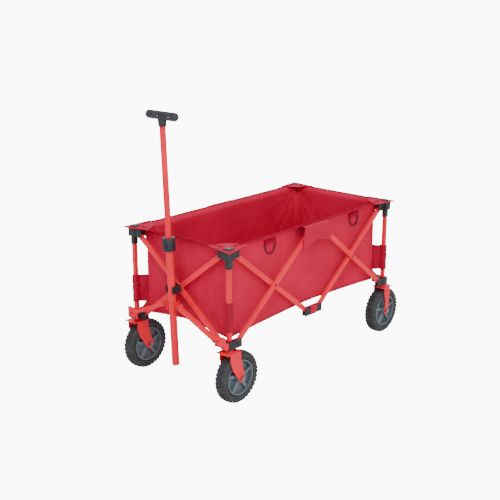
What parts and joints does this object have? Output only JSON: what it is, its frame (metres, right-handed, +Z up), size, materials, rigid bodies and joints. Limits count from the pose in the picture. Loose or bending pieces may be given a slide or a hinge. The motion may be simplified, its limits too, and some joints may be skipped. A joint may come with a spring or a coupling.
{
  "type": "folding wagon",
  "caption": "Folding utility wagon with a cloth bag on a scissor frame, swivelling front wheels and a telescopic pull handle",
  "frame": {"origin": "on the floor under the middle of the wagon's overall box", "axes": "+X from the handle end towards the rear, +Y from the left side to the right, +Z up"},
  "size_m": [1.1053, 0.5296, 0.9995],
  "materials": {
    "red_steel": "gloss powder coat",
    "black_plastic": "fine grained moulding",
    "tread_rubber": "matte with moulded tread",
    "grey_plastic": "satin moulding",
    "plated_steel": "zinc plated",
    "red_canvas": "coated polyester weave",
    "black_wire": "satin black"
  },
  "bodies": {
    "corner_fl": {"lower_joint_fl": "black_plastic", "post_fl": "red_steel", "arm_bracket_left": "red_steel", "bag": "red_canvas", "lashing_rings": "black_wire"},
    "top_corner_fl": {"upper_joint_fl": "black_plastic", "inner_post_fl": "red_steel"},
    "caster_fl": {"swivel_fork_fl": "red_steel", "axle_fl": "plated_steel"},
    "wheel_fl": {"tyre_fl": "tread_rubber", "rim_fl": "grey_plastic"},
    "corner_fr": {"lower_joint_fr": "black_plastic", "post_fr": "red_steel", "arm_bracket_right": "red_steel"},
    "top_corner_fr": {"upper_joint_fr": "black_plastic", "inner_post_fr": "red_steel"},
    "caster_fr": {"swivel_fork_fr": "red_steel", "axle_fr": "plated_steel"},
    "wheel_fr": {"tyre_fr": "tread_rubber", "rim_fr": "grey_plastic"},
    "corner_rl": {"lower_joint_rl": "black_plastic", "post_rl": "red_steel", "rear_fork_rl": "red_steel", "axle_rl": "plated_steel"},
    "top_corner_rl": {"upper_joint_rl": "black_plastic", "inner_post_rl": "red_steel"},
    "wheel_rl": {"tyre_rl": "tread_rubber", "rim_rl": "grey_plastic"},
    "corner_rr": {"lower_joint_rr": "black_plastic", "post_rr": "red_steel", "rear_fork_rr": "red_steel", "axle_rr": "plated_steel"},
    "top_corner_rr": {"upper_joint_rr": "black_plastic", "inner_post_rr": "red_steel"},
    "wheel_rr": {"tyre_rr": "tread_rubber", "rim_rr": "grey_plastic"},
    "left_bar_front_outer": {"left_bar_front_outer": "red_steel"},
    "left_bar_front_inner": {"left_bar_front_inner": "red_steel"},
    "left_bar_rear_outer": {"left_bar_rear_outer": "red_steel"},
    "left_bar_rear_inner": {"left_bar_rear_inner": "red_steel"},
    "top_middle_left": {"top_joint_left": "black_plastic"},
    "bottom_middle_left": {"bottom_joint_left": "black_plastic"},
    "arm_left": {"pull_arm_left": "red_steel"},
    "right_bar_front_outer": {"right_bar_front_outer": "red_steel"},
    "right_bar_front_inner": {"right_bar_front_inner": "red_steel"},
    "right_bar_rear_outer": {"right_bar_rear_outer": "red_steel"},
    "right_bar_rear_inner": {"right_bar_rear_inner": "red_steel"},
    "top_middle_right": {"top_joint_right": "black_plastic"},
    "bottom_middle_right": {"bottom_joint_right": "black_plastic"},
    "arm_right": {"pull_arm_right": "red_steel"},
    "front_bar_outer": {"front_bar_outer": "red_steel"},
    "front_bar_inner": {"front_bar_inner": "red_steel"},
    "rear_bar_outer": {"rear_bar_outer": "red_steel"},
    "rear_bar_inner": {"rear_bar_inner": "red_steel"},
    "yoke": {"handle_yoke": "red_steel"},
    "clip": {"handle_clip": "black_plastic"},
    "handle": {"handle_outer_tube": "red_steel", "handle_collar": "black_plastic"},
    "handle_slider": {"handle_inner_tube": "red_steel", "handle_grip": "black_plastic"}
  },
  "joints": [
    {"name": "fold", "type": "hinge", "parent": "corner_fl", "child": "left_bar_front_outer", "pos_m": [-0.435, -0.2372, 0.2205], "axis": [0, -1, 0], "range_deg": [0, 45], "deforming": ["bag", "lashing_rings"]},
    {"name": "left_bar_front_inner_pivot", "type": "hinge", "parent": "left_bar_front_outer", "child": "left_bar_front_inner", "pos_m": [-0.232, -0.232, 0.3785], "axis": [0, 1, 0], "range_deg": [-0.5, 90.5]},
    {"name": "top_middle_left_pivot", "type": "hinge", "parent": "left_bar_front_outer", "child": "top_middle_left", "pos_m": [-0.029, -0.2372, 0.5365], "axis": [0, 1, 0], "range_deg": [-0.5, 45.5]},
    {"name": "bottom_middle_left_pivot", "type": "hinge", "parent": "left_bar_front_inner", "child": "bottom_middle_left", "pos_m": [-0.029, -0.2268, 0.2205], "axis": [0, 1, 0], "range_deg": [-45.5, 0.5]},
    {"name": "top_corner_fl_pivot", "type": "hinge", "parent": "left_bar_front_inner", "child": "top_corner_fl", "pos_m": [-0.435, -0.2268, 0.5365], "axis": [0, 1, 0], "range_deg": [-45.5, 0.5]},
    {"name": "left_bar_rear_outer_pivot", "type": "hinge", "parent": "top_middle_left", "child": "left_bar_rear_outer", "pos_m": [0.029, -0.2372, 0.5365], "axis": [0, 1, 0], "range_deg": [-0.5, 45.5]},
    {"name": "left_bar_rear_inner_pivot", "type": "hinge", "parent": "left_bar_rear_outer", "child": "left_bar_rear_inner", "pos_m": [0.232, -0.232, 0.3785], "axis": [0, 1, 0], "range_deg": [-90.5, 0.5]},
    {"name": "corner_rl_pivot", "type": "hinge", "parent": "left_bar_rear_outer", "child": "corner_rl", "pos_m": [0.435, -0.2372, 0.2205], "axis": [0, 1, 0], "range_deg": [-45.5, 0.5]},
    {"name": "top_corner_rl_pivot", "type": "hinge", "parent": "left_bar_rear_inner", "child": "top_corner_rl", "pos_m": [0.435, -0.2268, 0.5365], "axis": [0, 1, 0], "range_deg": [-0.5, 45.5]},
    {"name": "front_bar_outer_pivot", "type": "hinge", "parent": "corner_fl", "child": "front_bar_outer", "pos_m": [-0.4692, -0.203, 0.2205], "axis": [1, 0, 0], "range_deg": [-0.5, 45.5]},
    {"name": "front_bar_inner_pivot", "type": "hinge", "parent": "front_bar_outer", "child": "front_bar_inner", "pos_m": [-0.464, 0, 0.3785], "axis": [1, 0, 0], "range_deg": [-90.5, 0.5]},
    {"name": "corner_fr_pivot", "type": "hinge", "parent": "front_bar_inner", "child": "corner_fr", "pos_m": [-0.4588, 0.203, 0.2205], "axis": [1, 0, 0], "range_deg": [-0.5, 45.5]},
    {"name": "top_corner_fr_pivot", "type": "hinge", "parent": "front_bar_outer", "child": "top_corner_fr", "pos_m": [-0.4692, 0.203, 0.5365], "axis": [1, 0, 0], "range_deg": [-45.5, 0.5]},
    {"name": "clip_pivot", "type": "hinge", "parent": "front_bar_outer", "child": "clip", "pos_m": [-0.4692, 0, 0.3785], "axis": [1, 0, 0], "range_deg": [-45.5, 0.5]},
    {"name": "right_bar_front_outer_pivot", "type": "hinge", "parent": "corner_fr", "child": "right_bar_front_outer", "pos_m": [-0.435, 0.2372, 0.2205], "axis": [0, 1, 0], "range_deg": [-45.5, 0.5]},
    {"name": "right_bar_front_inner_pivot", "type": "hinge", "parent": "right_bar_front_outer", "child": "right_bar_front_inner", "pos_m": [-0.232, 0.232, 0.3785], "axis": [0, 1, 0], "range_deg": [-0.5, 90.5]},
    {"name": "top_middle_right_pivot", "type": "hinge", "parent": "right_bar_front_outer", "child": "top_middle_right", "pos_m": [-0.029, 0.2372, 0.5365], "axis": [0, 1, 0], "range_deg": [-0.5, 45.5]},
    {"name": "bottom_middle_right_pivot", "type": "hinge", "parent": "right_bar_front_inner", "child": "bottom_middle_right", "pos_m": [-0.029, 0.2268, 0.2205], "axis": [0, 1, 0], "range_deg": [-45.5, 0.5]},
    {"name": "right_bar_rear_outer_pivot", "type": "hinge", "parent": "top_middle_right", "child": "right_bar_rear_outer", "pos_m": [0.029, 0.2372, 0.5365], "axis": [0, 1, 0], "range_deg": [-0.5, 45.5]},
    {"name": "right_bar_rear_inner_pivot", "type": "hinge", "parent": "right_bar_rear_outer", "child": "right_bar_rear_inner", "pos_m": [0.232, 0.232, 0.3785], "axis": [0, 1, 0], "range_deg": [-90.5, 0.5]},
    {"name": "corner_rr_pivot", "type": "hinge", "parent": "right_bar_rear_outer", "child": "corner_rr", "pos_m": [0.435, 0.2372, 0.2205], "axis": [0, 1, 0], "range_deg": [-45.5, 0.5]},
    {"name": "top_corner_rr_pivot", "type": "hinge", "parent": "right_bar_rear_inner", "child": "top_corner_rr", "pos_m": [0.435, 0.2268, 0.5365], "axis": [0, 1, 0], "range_deg": [-0.5, 45.5]},
    {"name": "rear_bar_outer_pivot", "type": "hinge", "parent": "corner_rl", "child": "rear_bar_outer", "pos_m": [0.4692, -0.203, 0.2205], "axis": [1, 0, 0], "range_deg": [-0.5, 45.5]},
    {"name": "rear_bar_inner_pivot", "type": "hinge", "parent": "rear_bar_outer", "child": "rear_bar_inner", "pos_m": [0.464, 0, 0.3785], "axis": [1, 0, 0], "range_deg": [-90.5, 0.5]},
    {"name": "arm_left_pivot", "type": "hinge", "parent": "corner_fl", "child": "arm_left", "pos_m": [-0.505, -0.205, 0.243], "axis": [1, 0, 0], "range_deg": [-0.5, 66.59]},
    {"name": "arm_right_pivot", "type": "hinge", "parent": "corner_fr", "child": "arm_right", "pos_m": [-0.505, 0.205, 0.243], "axis": [1, 0, 0], "range_deg": [-66.59, 0.5]},
    {"name": "yoke_lift", "type": "slide", "parent": "clip", "child": "yoke", "axis": [0, 0, 1], "range_m": [-0.0005, 0.01436]},
    {"name": "handle_tilt", "type": "hinge", "parent": "yoke", "child": "handle", "pos_m": [-0.5036, 0, 0.319], "axis": [0, 1, 0], "range_deg": [-30, 0]},
    {"name": "handle_telescope", "type": "slide", "parent": "handle", "child": "handle_slider", "axis": [-0.0401, 0, 0.9992], "range_m": [-0.36, 0]},
    {"name": "caster_fl_swivel", "type": "hinge", "parent": "corner_fl", "child": "caster_fl", "pos_m": [-0.464, -0.232, 0.198], "axis": [0, 0, 1], "continuous": true},
    {"name": "wheel_fl_spin", "type": "hinge", "parent": "caster_fl", "child": "wheel_fl", "pos_m": [-0.428, -0.232, 0.094], "axis": [0, 1, 0], "continuous": true},
    {"name": "caster_fr_swivel", "type": "hinge", "parent": "corner_fr", "child": "caster_fr", "pos_m": [-0.464, 0.232, 0.198], "axis": [0, 0, 1], "continuous": true},
    {"name": "wheel_fr_spin", "type": "hinge", "parent": "caster_fr", "child": "wheel_fr", "pos_m": [-0.428, 0.232, 0.094], "axis": [0, 1, 0], "continuous": true},
    {"name": "wheel_rl_spin", "type": "hinge", "parent": "corner_rl", "child": "wheel_rl", "pos_m": [0.464, -0.232, 0.094], "axis": [0, 1, 0], "continuous": true},
    {"name": "wheel_rr_spin", "type": "hinge", "parent": "corner_rr", "child": "wheel_rr", "pos_m": [0.464, 0.232, 0.094], "axis": [0, 1, 0], "continuous": true}
  ],
  "couplings": [
    {"joint": "left_bar_front_inner_pivot", "follows": "fold", "ratio": 2},
    {"joint": "top_middle_left_pivot", "follows": "fold", "ratio": 1},
    {"joint": "bottom_middle_left_pivot", "follows": "fold", "ratio": -1},
    {"joint": "top_corner_fl_pivot", "follows": "fold", "ratio": -1},
    {"joint": "left_bar_rear_outer_pivot", "follows": "fold", "ratio": 1},
    {"joint": "left_bar_rear_inner_pivot", "follows": "fold", "ratio": -2},
    {"joint": "corner_rl_pivot", "follows": "fold", "ratio": -1},
    {"joint": "top_corner_rl_pivot", "follows": "fold", "ratio": 1},
    {"joint": "front_bar_outer_pivot", "follows": "fold", "ratio": 1},
    {"joint": "front_bar_inner_pivot", "follows": "fold", "ratio": -2},
    {"joint": "corner_fr_pivot", "follows": "fold", "ratio": 1},
    {"joint": "top_corner_fr_pivot", "follows": "fold", "ratio": -1},
    {"joint": "clip_pivot", "follows": "fold", "ratio": -1},
    {"joint": "right_bar_front_outer_pivot", "follows": "fold", "ratio": -1},
    {"joint": "right_bar_front_inner_pivot", "follows": "fold", "ratio": 2},
    {"joint": "top_middle_right_pivot", "follows": "fold", "ratio": 1},
    {"joint": "bottom_middle_right_pivot", "follows": "fold", "ratio": -1},
    {"joint": "right_bar_rear_outer_pivot", "follows": "fold", "ratio": 1},
    {"joint": "right_bar_rear_inner_pivot", "follows": "fold", "ratio": -2},
    {"joint": "corner_rr_pivot", "follows": "fold", "ratio": -1},
    {"joint": "top_corner_rr_pivot", "follows": "fold", "ratio": 1},
    {"joint": "rear_bar_outer_pivot", "follows": "fold", "ratio": 1},
    {"joint": "rear_bar_inner_pivot", "follows": "fold", "ratio": -2},
    {"joint": "arm_left_pivot", "follows": "fold", "ratio": 1.4687},
    {"joint": "arm_right_pivot", "follows": "fold", "ratio": -1.4687},
    {"joint": "yoke_lift", "follows": "fold", "m_per_rad": 0.01765}
  ]
}
